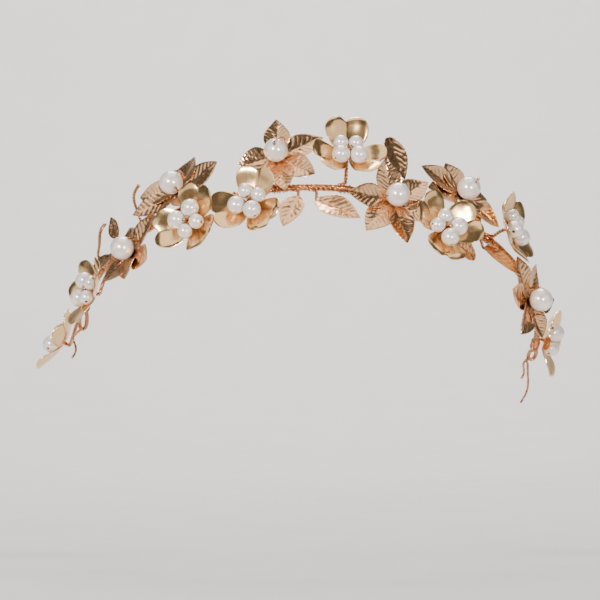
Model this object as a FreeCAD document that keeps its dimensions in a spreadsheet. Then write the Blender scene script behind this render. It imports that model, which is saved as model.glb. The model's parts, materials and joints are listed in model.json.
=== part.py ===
import FreeCAD, Part
import os
from math import asin, atan2, cos, degrees, radians, sin, sqrt

import Sketcher
from FreeCAD import Placement, Rotation, Vector

# A bridal tiara: a twisted wire stem that arches over the head, dressed with pressed-metal flowers,
# loose leaves and beads that are wired on. The frame is the worn one: +Z is up, -Y is the face's side
# and +X the wearer's left. The origin is the centre of the stem's arc, in the middle of the head.
# A station is an angle along the stem in degrees, zero at the top and growing towards +X.
# Lengths are millimetres.

doc = FreeCAD.newDocument("BridalTiara")

SIZES = (
    # alias, value, meaning
    ("band_radius", 80, "arc of the stem, from the head's centre"),
    ("band_tilt", 52, "degrees that the arc leans forward from upright"),
    ("band_start", -80, "station of the stem's left end"),
    ("band_finish", 96, "station of the stem's right end"),
    ("stem_radius", 1.1, "the twisted stem, over its strands"),
    ("wrap_radius", 0.3, "binding wire"),
    ("sheet_thick", 0.4, "pressed metal"),
    ("petal_bowl", 25, "ball that a petal blank is dished over"),
    ("petal_reach", 13, "centre to the top of a petal's lobe"),
    ("petal_notch", 11.4, "centre to the notch between two lobes"),
    ("leaf_bowl", 50, "ball that a leaf blank is dished over"),
    ("leaf_tip", 17, "centre to the tip of a star leaf"),
    ("leaf_width", 7.5, "width of a star leaf"),
    ("eye_radius", 0.8, "hole in the middle of a blank"),
    ("star_pearl", 4, "radius of a star's single pearl"),
    ("big_pearl", 3, "radius of a cluster's two larger pearls"),
    ("small_pearl", 2.5, "radius of a cluster's two smaller pearls"),
    ("bore_radius", 0.5, "hole drilled through a pearl"),
    ("axle_radius", 0.45, "wire that a star's pearl turns on"),
    ("thread_radius", 0.35, "wire through a cluster's pearls"),
    ("stalk_radius", 0.6, "twisted pair that carries a flower"),
    ("twig_radius", 0.5, "twisted pair of a leaf, a tendril or a tail"),
    ("loop_wire", 0.65, "twisted wire of an end loop"),
)

sheet = doc.addObject("Spreadsheet::Sheet", "Sizes")
for row, (alias, value, meaning) in enumerate(SIZES, start=1):
    sheet.set(f"A{row}", meaning)
    sheet.set(f"B{row}", str(value))
    sheet.setAlias(f"B{row}", alias)
doc.recompute()


def size(alias):
    """The number in the sheet's cell of that name."""
    return float(getattr(sheet, alias))


ORIGIN = Vector(0, 0, 0)
UP = Vector(0, 0, 1)
FITTING_GAP = 0.05      # still pieces that rest on each other
FOOT_GAP = 0.02         # a stalk's foot above the stem's skin
TURNING_GAP = 0.35      # round what turns
BEND_GROWTH = 1.05      # a bend is this much thicker than its wire, as a pinched twist is
KNOT_GROWTH = 1.25      # the twist where a pearl's wire legs join its stalk
STUB = 1.2              # straight start of a stalk, out from the stem
END_MARGIN = 1.8        # degrees from the stem's end to the nearest stalk
CLUSTER_TAIL = 1.6      # where a cluster's stalk turns, behind the blank
STAR_TAIL = 1.8         # where a star's stalk turns, behind the blank
LEAF_TAIL = 0.65        # where a single leaf's stalk ends, behind the blank
LEG_DROP = 0.9          # how far a pearl's wire legs pass behind the blank
SHOULDER = 0.35         # extra reach of the wire loop at its corner
CROWN = 4.4             # where the four threads of a cluster meet, above the blank's back
RING_HALF = 2.82        # half of the way between a cluster's large pair and its small pair
PEARL_GAP = 0.04        # from a cluster's middle line to each pearl beside it
THREAD_PROUD = 0.4      # thread that shows past a pearl
ROOT_REACH = 3.0        # hub of a blank, from its middle
LEAF_ROOT = 0.7         # half width of a leaf at its root

# Flowers of three petals and four pearls: station, offset across the stem, lift above it, lean of the
# face down towards the brow, turn of the face along the stem, spin of the petals, and the side that
# the two larger pearls are on. The lift is to the blank's own back.
CLUSTERS = (
    (-90.5, -3.3, 6.3, -23, 18, 112, 232),
    (-57.0, -18.5, 6.5, 0, -5, 0, 144),
    (-26.2, -14.4, 7.5, 12, -8, 62, 110),
    (-13.0, -10.6, 6.0, 12, -8, 70, 240),
    (8.1, 9.1, 6.5, 0, 0, 95, 274),
    (30.0, -14.2, 6.5, 10, 0, 28, 330),
    (48.4, -0.2, 8.1, 0, 17, 90, 280),
    (95.5, 3.5, 3.3, 14, -14, 68, 128),
)

# Flowers of six leaves and one pearl: station, across, lift, lean, turn, spin, and the gap between
# leaves that the pearl's axle points to (None when the axle stands on the blank).
STARS = (
    (-46.9, -8.9, 1.8, 0, 0, -7, 0),
    (-32.1, 6.4, 3.3, -3, 2, 31, 1),
    (-7.6, 11.0, 3.0, 8, 0, 20, None),
    (19.1, -4.6, 3.0, 10, 0, -10, 0),
    (37.2, 8.3, 3.0, 0, 0, 30, None),
    (62.5, -15.9, 3.3, 10, -5, 30, 1),
)

# Leaves that stand alone: station, across, lift, lean, turn, heading, length and width of the blade.
LEAVES = (
    (-3.0, -6.0, 2.0, 10, 0, 250, 14, 7.0),
    (1.5, -6.5, 1.5, 10, 0, -35, 17, 8.5),
    (21.5, 5.0, 3.0, 0, 0, 112, 16, 7.5),
    (34.4, -13.0, 1.5, 10, 0, -18, 10, 7.0),
    (45.0, -8.0, 2.5, 0, 0, -28, 15, 6.0),
    (-54.8, -4.0, 3.0, 0, 0, 190, 10, 5.0),
    (-53.2, 4.0, 2.0, 0, 0, 100, 9, 4.5),
)


def band_axes(station):
    """Outward, along and across directions of the stem at a station."""
    angle, tilt = radians(station), radians(size("band_tilt"))
    outward = Vector(sin(angle), -cos(angle) * sin(tilt), cos(angle) * cos(tilt))
    along = Vector(cos(angle), sin(angle) * sin(tilt), -sin(angle) * cos(tilt))
    return outward, along, outward.cross(along)


def band_point(station, across, lift):
    """A point beside the stem."""
    outward, _, over = band_axes(station)
    return outward * (size("band_radius") + lift) + over * across


def seat(station, across, lift, lean, turn, spin):
    """Placement of a flower or leaf: its own Z faces out from the head and its X is the spin's zero."""
    outward, along, over = band_axes(station)
    facing = Rotation(over, turn) * Rotation(along, lean) * Rotation(along, over, outward, "ZXY")
    return Placement(band_point(station, across, lift), facing * Rotation(UP, spin))


def polar(radius, angle, height=0.0):
    """A point from a radius and an angle in degrees."""
    return Vector(radius * cos(radians(angle)), radius * sin(radians(angle)), height)


# --- building blocks ---

nodes = []


def keep(piece, label, place=None):
    """Names a finished sub-part and puts it in its place."""
    piece.Label = label
    if place is not None:
        piece.Placement = place
    nodes.append(piece)
    return piece


def tie_ends(sketch, count):
    """Joins an outline's arcs end to end."""
    for index in range(count):
        following = (index + 1) % count
        pairs = [(a, b) for a in (1, 2) for b in (1, 2)]
        near = min(pairs, key=lambda ends: sketch.getPoint(index, ends[0])
                   .distanceToPoint(sketch.getPoint(following, ends[1])))
        sketch.addConstraint(Sketcher.Constraint("Coincident", index, near[0], following, near[1]))


def pin_starts(sketch, count, distance, cell):
    """Binds each arc's start that lies at a distance from the middle to a cell of the sheet."""
    for index in range(count):
        if abs(sketch.getPoint(index, 1).Length - distance) < 1e-6:
            bound = sketch.addConstraint(Sketcher.Constraint("Distance", -1, 1, index, 1, distance))
            sketch.setExpression(f"Constraints[{bound}]", f"Sizes.{cell}")


def stamping(name, bowl, outline, pinned=None, eye=True):
    """A pressed blank: a shell of a ball, trimmed to an outline of arcs, with an eye for the wire."""
    body = doc.addObject("PartDesign::Body", name)
    dish = body.newObject("PartDesign::AdditiveSphere", name + "_dish")
    dish.setExpression("Radius", f"Sizes.{bowl}")
    dish.setExpression("Placement.Base.z", f"Sizes.{bowl}")
    dish.Angle1 = -90
    dish.Angle2 = -40
    hollow = body.newObject("PartDesign::SubtractiveSphere", name + "_hollow")
    hollow.setExpression("Radius", f"Sizes.{bowl} - Sizes.sheet_thick")
    hollow.setExpression("Placement.Base.z", f"Sizes.{bowl}")

    sketch = body.newObject("Sketcher::SketchObject", name + "_outline")
    flat = next(plane for plane in body.Origin.OriginFeatures if plane.Role == "XY_Plane")
    sketch.AttachmentSupport = [(flat, "")]
    sketch.MapMode = "FlatFace"
    for start, middle, finish in outline:
        sketch.addGeometry(Part.Arc(start, middle, finish), False)
    tie_ends(sketch, len(outline))
    for distance, cell in pinned or ():
        pin_starts(sketch, len(outline), distance, cell)
    rim = sketch.addGeometry(Part.Circle(ORIGIN, UP, size(bowl)), False)
    sketch.addConstraint(Sketcher.Constraint("Coincident", rim, 3, -1, 1))
    bound = sketch.addConstraint(Sketcher.Constraint("Radius", rim, size(bowl)))
    sketch.setExpression(f"Constraints[{bound}]", f"Sizes.{bowl}")
    if eye:
        ring = sketch.addGeometry(Part.Circle(ORIGIN, UP, size("eye_radius")), False)
        sketch.addConstraint(Sketcher.Constraint("Coincident", ring, 3, -1, 1))
        bound = sketch.addConstraint(Sketcher.Constraint("Radius", ring, size("eye_radius")))
        sketch.setExpression(f"Constraints[{bound}]", "Sizes.eye_radius")

    trim = body.newObject("PartDesign::Pocket", name + "_trim")
    trim.Profile = sketch
    trim.Type = "Length"
    trim.SideType = "Symmetric"
    trim.setExpression("Length", f"Sizes.{bowl} * 2")
    return body


def ball(name, cell, centre, growth=1.0):
    """A round ball with its radius in a cell of the sheet, or a little more."""
    piece = doc.addObject("Part::Sphere", name)
    piece.setExpression("Radius", f"Sizes.{cell} * {growth}")
    piece.Placement = Placement(centre, Rotation())
    return piece


def rod(name, cell, start, finish):
    """A straight round rod between two points."""
    piece = doc.addObject("Part::Cylinder", name)
    piece.setExpression("Radius", f"Sizes.{cell}")
    piece.Height = start.distanceToPoint(finish)
    piece.Placement = Placement(start, Rotation(UP, finish - start))
    return piece


def bent_wire(name, cell, points):
    """The pieces of a round wire through some points: a rod along each run and a bead at each bend."""
    runs = [rod(f"{name}_run{i}", cell, a, b) for i, (a, b) in enumerate(zip(points, points[1:]))]
    bends = [ball(f"{name}_bend{i}", cell, p, BEND_GROWTH) for i, p in enumerate(points[1:-1])]
    return runs + bends


def joined(name, pieces):
    """One solid from several."""
    piece = doc.addObject("Part::MultiFuse", name)
    piece.Shapes = pieces
    return piece


def group(name, pieces):
    """Several separate solids in one node."""
    piece = doc.addObject("Part::Compound", name)
    piece.Links = pieces
    return piece


def drilled_pearl(name, cell, centre, axis):
    """A pearl with a hole through its middle."""
    radius = size(cell)
    round_pearl = ball(name + "_ball", cell, centre)
    reach = axis * (radius + 1)
    hole = rod(name + "_hole", "bore_radius", centre - reach, centre + reach)
    piece = doc.addObject("Part::Cut", name)
    piece.Base = round_pearl
    piece.Tool = hole
    return piece


def station_of(place):
    """The station where a flower's stalk leaves the stem: the nearest one that the stem reaches."""
    base = place.Base
    ahead, above = base.dot(band_axes(90)[0]), base.dot(band_axes(0)[0])
    station = degrees(atan2(ahead, above))
    return min(max(station, size("band_start") + END_MARGIN), size("band_finish") - END_MARGIN)


def stalk_route(place, below):
    """From the stem's skin straight out, then over to a point behind the flower, in the flower's frame."""
    station = station_of(place)
    _, along, _ = band_axes(station)
    middle = band_point(station, 0, 0)
    behind = place.multVec(Vector(0, 0, -below))
    away = behind - middle
    away = (away - along * away.dot(along)).normalize()
    foot = middle + away * (size("stem_radius") + FOOT_GAP)
    elbow = middle + away * (size("stem_radius") + STUB)
    inverse = place.inverse()
    return [inverse.multVec(foot), inverse.multVec(elbow), Vector(0, 0, -below)]


# --- outlines ---

def petal_outline():
    """Three heart-shaped petals: two side arcs and two lobes each, with their roots round the eye."""
    reach, notch = size("petal_reach"), size("petal_notch")
    arcs = []
    for middle in (0, 120, 240):
        root_in, root_out = polar(ROOT_REACH, middle - 60), polar(ROOT_REACH, middle + 60)
        low, high = polar(11.2, middle - 47), polar(11.2, middle + 47)
        dip = polar(notch, middle)
        arcs.append((root_in, polar(7.4, middle - 52.5), low))
        arcs.append((low, polar(reach, middle - 22), dip))
        arcs.append((dip, polar(reach, middle + 22), high))
        arcs.append((high, polar(7.4, middle + 52.5), root_out))
    return arcs


def star_outline():
    """Six leaves round a hub: two long arcs each, and a short one along the hub to the next leaf."""
    tip, half = size("leaf_tip"), size("leaf_width") / 2
    root = Vector(ROOT_REACH, LEAF_ROOT, 0)
    lean = degrees(asin(root.y / root.Length))
    arcs = []
    for step in range(6):
        turn = Rotation(UP, step * 60)
        near, far = Vector(root.x, -root.y, 0), Vector(tip, 0, 0)
        belly = Vector(0.56 * tip, half, 0)
        arcs.append((turn * near, turn * Vector(belly.x, -belly.y, 0), turn * far))
        arcs.append((turn * far, turn * belly, turn * root))
        hub = polar(root.Length, step * 60 + 30)
        arcs.append((turn * root, hub * 0.98, polar(root.Length, (step + 1) * 60 - lean)))
    return arcs


def leaf_outline(length, width):
    """One pointed leaf that starts at the origin."""
    left_root, right_root = Vector(0, LEAF_ROOT, 0), Vector(0, -LEAF_ROOT, 0)
    belly, tip = 0.48 * length, Vector(length, 0, 0)
    return [
        (right_root, Vector(belly, -width / 2, 0), tip),
        (tip, Vector(belly, width / 2, 0), left_root),
        (left_root, Vector(-0.3, 0, 0), right_root),
    ]


# --- flowers ---

def pearl_height(bowl, radius, reach, gap):
    """Height at which a pearl of a radius rests in a dish, at a distance from its middle."""
    inside = bowl - size("sheet_thick") - radius - gap
    return bowl - sqrt(inside ** 2 - reach ** 2)


def cluster_flower(number, station, across, lift, lean, turn, spin, large_side):
    """Three petals and four pearls that touch in a ring, threaded on wire from the middle."""
    name = f"cluster_{number}"
    place = seat(station, across, lift, lean, turn, spin)
    petals = stamping(name + "_petals", "petal_bowl", petal_outline(),
                      ((size("petal_notch"), "petal_notch"),))
    keep(petals, name + "_petals", place)

    big, small = size("big_pearl"), size("small_pearl")
    spots = (
        ("big_pearl", Vector(big + PEARL_GAP, -RING_HALF, 0)),
        ("big_pearl", Vector(-big - PEARL_GAP, -RING_HALF, 0)),
        ("small_pearl", Vector(small + PEARL_GAP, RING_HALF, 0)),
        ("small_pearl", Vector(-small - PEARL_GAP, RING_HALF, 0)),
    )
    aim = Rotation(UP, large_side + 90 - spin)
    bowl = size("petal_bowl")
    pearls, threads = [], []
    for index, (cell, spot) in enumerate(spots):
        reach = spot.Length
        out = (aim * spot) * (1 / reach)
        height = pearl_height(bowl, size(cell), reach, FITTING_GAP)
        centre = out * reach + UP * height
        pearls.append(drilled_pearl(f"{name}_pearl{index}", cell, centre, out))
        tip = centre + out * (size(cell) + THREAD_PROUD)
        threads.append(rod(f"{name}_thread{index}", "thread_radius", UP * height, tip))
    keep(group(name + "_pearls", pearls), name + "_pearls", place)

    route = stalk_route(place, CLUSTER_TAIL) + [UP * CROWN]
    pieces = bent_wire(name + "_stalk", "stalk_radius", route)
    keep(joined(name + "_wire", pieces + threads), name + "_wire", place)
    return place


def star_flower(number, station, across, lift, lean, turn, spin, gap):
    """Six leaves and one pearl that turns on a wire axle, in a wire loop that holds it on."""
    name = f"star_{number}"
    place = seat(station, across, lift, lean, turn, spin)
    leaves = stamping(name + "_leaves", "leaf_bowl", star_outline(), ((size("leaf_tip"), "leaf_tip"),))
    keep(leaves, name + "_leaves", place)

    radius = size("star_pearl")
    height = pearl_height(size("leaf_bowl"), radius, 0, TURNING_GAP)
    centre = UP * height
    stand = gap is None
    side = polar(1, 30 if stand else 30 + 60 * gap)
    axis = UP if stand else side
    keep(drilled_pearl(name + "_pearl", "star_pearl", centre, axis), name + "_pearl", place)

    route = stalk_route(place, STAR_TAIL)
    knot = route[-1]
    hoop = radius + TURNING_GAP + size("axle_radius")
    leg_foot = side * hoop - UP * LEG_DROP
    if stand:
        shoulder = (UP + side).normalize() * (hoop + SHOULDER)
        loop = [knot, centre + UP * hoop, centre + shoulder, centre + side * hoop, leg_foot, knot]
    else:
        other_foot = side * -hoop - UP * LEG_DROP
        loop = [knot, other_foot, centre - side * hoop, centre + side * hoop, leg_foot, knot]
    pieces = bent_wire(name + "_loop", "axle_radius", loop)
    pieces += bent_wire(name + "_stalk", "stalk_radius", route)
    pieces.append(ball(name + "_knot", "stalk_radius", knot, KNOT_GROWTH))
    keep(joined(name + "_wire", pieces), name + "_wire", place)
    return place, place.multVec(centre), place.Rotation * axis


# --- the stem, its ends and the loose pieces ---

def stem():
    """The long arc of twisted wire, as one round rod."""
    piece = doc.addObject("Part::Torus", "stem_core")
    piece.setExpression("Radius1", "Sizes.band_radius")
    piece.setExpression("Radius2", "Sizes.stem_radius")
    piece.setExpression("Angle3", "Sizes.band_finish - Sizes.band_start")
    outward, along, over = band_axes(size("band_start"))
    keep(piece, "stem_core", Placement(ORIGIN, Rotation(outward, along, over, "ZXY")))


def binding_wraps(stations):
    """Two turns of binding wire on each side of every stalk's foot."""
    rings = []
    spacing = degrees(1 / size("band_radius"))
    for index, station in enumerate(stations):
        for turn, offset in enumerate((-1.75, -1.1, 1.1, 1.75)):
            at = station + offset * spacing
            ring = doc.addObject("Part::Torus", f"wrap_{index}_{turn}")
            ring.setExpression("Radius1", "Sizes.stem_radius + Sizes.wrap_radius + 0.03")
            ring.setExpression("Radius2", "Sizes.wrap_radius")
            outward, along, over = band_axes(at)
            ring.Placement = Placement(band_point(at, 0, 0), Rotation(outward, over, along, "ZXY"))
            rings.append(ring)
    keep(group("binding_wraps", rings), "binding_wraps")


def end_loop(name, station, length):
    """A long narrow loop of twisted wire at the stem's end, standing out from the head."""
    half_gap = 1.25
    run = length / 2 - half_gap - size("loop_wire")
    pieces = []
    for sign, start in ((1, -90), (-1, 90)):
        bend = doc.addObject("Part::Torus", f"{name}_bend{start + 90}")
        bend.Radius1 = half_gap
        bend.setExpression("Radius2", "Sizes.loop_wire")
        bend.Angle3 = 180
        bend.Placement = Placement(Vector(sign * run, 0, 0), Rotation(UP, start))
        pieces.append(bend)
        pieces.append(rod(f"{name}_run{start + 90}", "loop_wire", Vector(-run, sign * half_gap, 0),
                          Vector(run, sign * half_gap, 0)))
    outward, along, over = band_axes(station)
    place = Placement(band_point(station, 0, 0), Rotation(along, outward, along.cross(outward), "ZXY"))
    keep(joined(name, pieces), name, place)


def single_leaf(number, station, across, lift, lean, turn, heading, length, width):
    """One pressed leaf."""
    name = f"leaf_{number}"
    place = seat(station, across, lift, lean, turn, heading)
    keep(stamping(name, "leaf_bowl", leaf_outline(length, width), eye=False), name, place)
    return place


def leaf_stalks(places):
    """A short twisted wire from the stem to under each single leaf."""
    stalks = []
    for index, place in enumerate(places):
        route = [place.multVec(point) for point in stalk_route(place, LEAF_TAIL)]
        stalks.append(joined(f"leaf_stalk_{index}", bent_wire(f"leaf_stalk_{index}", "twig_radius", route)))
    keep(group("leaf_stalks", stalks), "leaf_stalks")


def wire_group(name, routes):
    """Loose twisted wires, one solid for each route."""
    wires = [joined(f"{name}_{index}", bent_wire(f"{name}_{index}", "twig_radius", points))
             for index, points in enumerate(routes)]
    keep(group(name, wires), name)


stem()
feet = []
for number, row in enumerate(CLUSTERS, start=1):
    feet.append(station_of(cluster_flower(number, *row)))
axles = []
for number, row in enumerate(STARS, start=1):
    place, centre, axis = star_flower(number, *row)
    feet.append(station_of(place))
    axles.append((number, centre, axis))
leaf_places = [single_leaf(number, *row) for number, row in enumerate(LEAVES, start=1)]
leaf_stalks(leaf_places)
binding_wraps(feet)
end_loop("left_end_loop", -84.2, 12)
end_loop("right_end_loop", 98.7, 7)

TENDRILS = (
    [band_point(-44.2, 1.2, 0.9), band_point(-44.5, 5, 3.5), band_point(-43.8, 10, 5.5), band_point(-42.5, 15, 6)],
    [band_point(-62, 0.9, 0.9), band_point(-60, 3, 4.5), band_point(-55, 3, 8), band_point(-50.5, 3, 10)],
)
wire_group("tendrils", TENDRILS)
TAILS = (
    [Vector(-83.4, 0, -0.6), Vector(-83.0, 0, -4.5), Vector(-84.0, 0, -8.5)],
    [Vector(77.3, 9, -9.4), Vector(78.4, 9, -12), Vector(76.8, 8, -18), Vector(74.8, 7, -24.5)],
    [Vector(76.6, 11, -10), Vector(76.2, 11.5, -13), Vector(75.4, 11, -16)],
)
wire_group("tails", TAILS)

doc.recompute()

problems = [item.Label for item in doc.Objects if {"Invalid", "Error"} & set(item.State)]
problems += [item.Label for item in nodes if item.Shape.isNull() or not item.Shape.isValid()]
if problems:
    raise RuntimeError(f"failed objects: {problems}")

for number, centre, axis in axles:
    print(f"star_{number} axle", [round(v / 1000, 6) for v in centre], [round(v, 6) for v in axis])

os.makedirs("parts", exist_ok=True)
for piece in nodes:
    piece.Shape.exportStep(f"parts/{piece.Label}.step")
print(len(nodes), "nodes")
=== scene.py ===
"""Looks of a wired bridal tiara: pressed gold flowers, veined leaves and pearls on a twisted stem.

Every flower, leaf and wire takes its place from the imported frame. Lengths in the classes are
millimetres and are scaled to metres where a mesh is finished.
"""

import json
import logging
import math
from dataclasses import dataclass, field
from enum import Enum
from random import Random
from typing import Callable, Sequence

import bmesh
import bpy
from mathutils import Matrix, Vector, noise


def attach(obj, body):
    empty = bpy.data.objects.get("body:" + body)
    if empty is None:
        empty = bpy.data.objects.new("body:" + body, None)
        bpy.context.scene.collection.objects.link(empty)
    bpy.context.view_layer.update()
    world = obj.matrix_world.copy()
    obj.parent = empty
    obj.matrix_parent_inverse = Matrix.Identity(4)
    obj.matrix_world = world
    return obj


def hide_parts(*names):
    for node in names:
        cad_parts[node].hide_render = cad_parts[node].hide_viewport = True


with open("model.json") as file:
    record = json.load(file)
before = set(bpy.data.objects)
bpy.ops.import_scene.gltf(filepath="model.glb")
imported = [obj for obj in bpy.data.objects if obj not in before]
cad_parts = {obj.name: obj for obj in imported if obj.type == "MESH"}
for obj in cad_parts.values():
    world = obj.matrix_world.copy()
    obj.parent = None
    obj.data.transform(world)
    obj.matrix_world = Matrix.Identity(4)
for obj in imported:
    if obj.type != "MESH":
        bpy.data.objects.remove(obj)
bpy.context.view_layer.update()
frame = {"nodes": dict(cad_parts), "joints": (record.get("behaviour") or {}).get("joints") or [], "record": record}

logging.basicConfig(level=logging.INFO, format="%(message)s")
log = logging.getLogger("tiara")

MM = 0.001
WHOLE_TURN = 2 * math.pi
MERGE_GAP = 0.002   # millimetres within which vertices are one


# --- finishes ---


class NodeBench:
    """Short words for building one material's node tree."""

    def __init__(self, name: str) -> None:
        """Makes an empty material with its output and shader.

        Args:
            name: The material's name.
        """
        self.material = bpy.data.materials.new(name)
        self.material.use_nodes = True
        self.tree = self.material.node_tree
        self.tree.nodes.clear()
        self.output = self.add("ShaderNodeOutputMaterial")
        self.shader = self.add("ShaderNodeBsdfPrincipled")
        self.link(self.shader, "BSDF", self.output, "Surface")

    def add(self, kind: str, **settings: object) -> bpy.types.Node:
        """Adds a node and sets its plain properties.

        Args:
            kind: The node's type.
            settings: Its properties by name.

        Returns:
            The node.
        """
        node = self.tree.nodes.new(kind)
        for key, value in settings.items():
            setattr(node, key, value)
        return node

    def link(self, source: bpy.types.Node, out: str | int,
             target: bpy.types.Node, into: str | int) -> None:
        """Joins one node's output socket to another node's input socket."""
        self.tree.links.new(source.outputs[out], target.inputs[into])

    def noise(self, scale: float, detail: float = 3.0) -> bpy.types.Node:
        """A noise pattern on Object coordinates.

        Args:
            scale: Repeats per metre.
            detail: Octaves of the noise.

        Returns:
            The noise node.
        """
        place = self.add("ShaderNodeTexCoord")
        pattern = self.add("ShaderNodeTexNoise")
        pattern.inputs["Scale"].default_value = scale
        pattern.inputs["Detail"].default_value = detail
        self.link(place, "Object", pattern, "Vector")
        return pattern

    def ramp(self, stops: Sequence[tuple[float, tuple[float, float, float]]]) -> bpy.types.Node:
        """A colour ramp.

        Args:
            stops: Each stop's position and colour.

        Returns:
            The ramp node.
        """
        node = self.add("ShaderNodeValToRGB")
        while len(node.color_ramp.elements) < len(stops):
            node.color_ramp.elements.new(0.5)
        for element, (position, colour) in zip(node.color_ramp.elements, stops):
            element.position = position
            element.color = (*colour, 1.0)
        return node

    def bump(self, height: bpy.types.Node, strength: float, distance: float) -> None:
        """Raises the surface by a pattern.

        Args:
            height: The pattern's node.
            strength: Share of the bump that is used.
            distance: Height of the bump, in metres.
        """
        node = self.add("ShaderNodeBump")
        node.inputs["Strength"].default_value = strength
        node.inputs["Distance"].default_value = distance
        self.link(height, 0, node, "Height")
        self.link(node, "Normal", self.shader, "Normal")


@dataclass(frozen=True)
class PlatedMetal:
    """A bright plated metal whose colour follows the relief layer: on petals and leaves the hollows are painted
    darker and redder as shade and leaf edges take a painted highlight; on wires the layer is random tarnish.

    Args:
        slot: The record's material slot.
        bright: Colour on the raised places, and on leaf edges as a painted highlight.
        painted_shade_and_tarnish: Painted shade in the hollows of petals and leaves; on wires, the colour of the
            random tarnish patches.
        polish: Lowest and highest roughness.
        ripple: Height of the slow waves in the sheet, in millimetres.
        raised: The relief from which the bright colour holds.
        stain: Tint of the faint cloudy patches.
        stain_share: How strongly the patches show.
    """

    slot: str
    bright: tuple[float, float, float]
    painted_shade_and_tarnish: tuple[float, float, float]
    polish: tuple[float, float]
    ripple: float
    raised: float = 0.55
    stain: tuple[float, float, float] = (1.0, 0.84, 0.72)
    stain_share: float = 0.22

    @property
    def name(self) -> str:
        """The material's name."""
        return f"{self.slot}_plating"

    def make(self) -> bpy.types.Material:
        """Builds the material.

        Returns:
            The material.
        """
        bench = NodeBench(self.name)
        shader = bench.shader
        shader.inputs["Metallic"].default_value = 1.0
        # Painted shade and highlight: the ramp paints the hollows dark by the relief layer and leaf edges bright;
        # on wires that layer is random tarnish.
        relief = bench.add("ShaderNodeAttribute", attribute_name="relief")
        tint = bench.ramp(((0.0, self.painted_shade_and_tarnish), (self.raised, self.bright)))
        bench.link(relief, "Fac", tint, "Fac")
        cloud = bench.noise(260.0)
        warm = bench.add("ShaderNodeMix", data_type="RGBA", blend_type="MULTIPLY")
        warm.inputs["Factor"].default_value = self.stain_share
        shade = bench.ramp(((0.3, self.stain), (0.7, (1.0, 1.0, 1.0))))
        bench.link(cloud, "Fac", shade, "Fac")
        bench.link(tint, "Color", warm, "A")
        bench.link(shade, "Color", warm, "B")
        bench.link(warm, "Result", shader, "Base Color")
        haze = bench.noise(900.0, 4.0)
        rough = bench.add("ShaderNodeMapRange")
        rough.inputs["To Min"].default_value = self.polish[0]
        rough.inputs["To Max"].default_value = self.polish[1]
        bench.link(haze, "Fac", rough, "Value")
        bench.link(rough, "Result", shader, "Roughness")
        wave = bench.noise(420.0, 2.0)
        bench.bump(wave, 0.35, self.ripple * MM)
        return bench.material


@dataclass(frozen=True)
class PearlLacquer:
    """A white bead under clear nacre lacquer.

    Args:
        slot: The record's material slot.
        body: Colour of most of the bead.
        shade: Colour of its faint clouds.
        lustre: How metallic the body looks.
        satin: Roughness under the lacquer.
    """

    slot: str
    body: tuple[float, float, float] = (0.92, 0.83, 0.76)
    shade: tuple[float, float, float] = (0.82, 0.72, 0.66)
    lustre: float = 0.35
    satin: float = 0.22

    @property
    def name(self) -> str:
        """The material's name."""
        return f"{self.slot}_lacquer"

    def make(self) -> bpy.types.Material:
        """Builds the material.

        Returns:
            The material.
        """
        bench = NodeBench(self.name)
        shader = bench.shader
        cloud = bench.noise(300.0, 2.0)
        tint = bench.ramp(((0.25, self.shade), (0.7, self.body)))
        bench.link(cloud, "Fac", tint, "Fac")
        bench.link(tint, "Color", shader, "Base Color")
        shader.inputs["Metallic"].default_value = self.lustre
        shader.inputs["Roughness"].default_value = self.satin
        shader.inputs["Subsurface Weight"].default_value = 0.1
        shader.inputs["Subsurface Scale"].default_value = 0.8 * MM
        shader.inputs["Coat Weight"].default_value = 1.0
        shader.inputs["Coat Roughness"].default_value = 0.05
        skin = bench.noise(1500.0, 2.0)
        bench.bump(skin, 0.12, 0.01 * MM)
        return bench.material


@dataclass(frozen=True)
class StudioPaper:
    """The matt paper of the floor, the backdrop and the dark cards.

    Args:
        colour: The paper's colour.
        name: The material's name.
        roughness: How matt it is.
        fibre_shade: The fibres' brightness beside the rest.
    """

    colour: tuple[float, float, float] = (0.80, 0.79, 0.78)
    name: str = "studio_paper"
    roughness: float = 0.9
    fibre_shade: float = 0.96

    def make(self) -> bpy.types.Material:
        """Builds the material.

        Returns:
            The material.
        """
        bench = NodeBench(self.name)
        fibre = bench.noise(40.0, 5.0)
        dim = tuple(channel * self.fibre_shade for channel in self.colour)
        tint = bench.ramp(((0.3, dim), (0.7, self.colour)))
        bench.link(fibre, "Fac", tint, "Fac")
        bench.link(tint, "Color", bench.shader, "Base Color")
        bench.shader.inputs["Roughness"].default_value = self.roughness
        return bench.material


class Finish(Enum):
    """The finishes that the tiara's pieces take."""

    # The second colour of the petal and leaf finishes is painted shade for their hollows and a flower's middle,
    # near black on the leaf; on the wire it is the colour of random tarnish.
    PETAL = PlatedMetal("petal_gold", (0.91, 0.60, 0.29), (0.76, 0.32, 0.10), (0.15, 0.27), 0.03)
    LEAF = PlatedMetal("leaf_gold", (0.84, 0.51, 0.28), (0.15, 0.06, 0.025), (0.15, 0.28), 0.02)
    WIRE = PlatedMetal("copper_wire", (0.78, 0.38, 0.18), (0.20, 0.065, 0.025), (0.14, 0.26), 0.01)
    PEARL = PearlLacquer("pearl")

    def material(self) -> bpy.types.Material:
        """The finish's material, made once."""
        return bpy.data.materials.get(self.value.name) or self.value.make()


# --- the frame ---


def corners(node: str) -> list[Vector]:
    """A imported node's vertices, in millimetres."""
    return [vertex.co / MM for vertex in frame["nodes"][node].data.vertices]


def welded(node: str) -> bmesh.types.BMesh:
    """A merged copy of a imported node's mesh.

    Args:
        node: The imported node.

    Returns:
        The copy, in millimetres, which the caller frees.
    """
    shape = bmesh.new()
    shape.from_mesh(frame["nodes"][node].data)
    bmesh.ops.scale(shape, vec=Vector((1, 1, 1)) / MM, verts=shape.verts)
    bmesh.ops.remove_doubles(shape, verts=shape.verts, dist=MERGE_GAP)
    return shape


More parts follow.
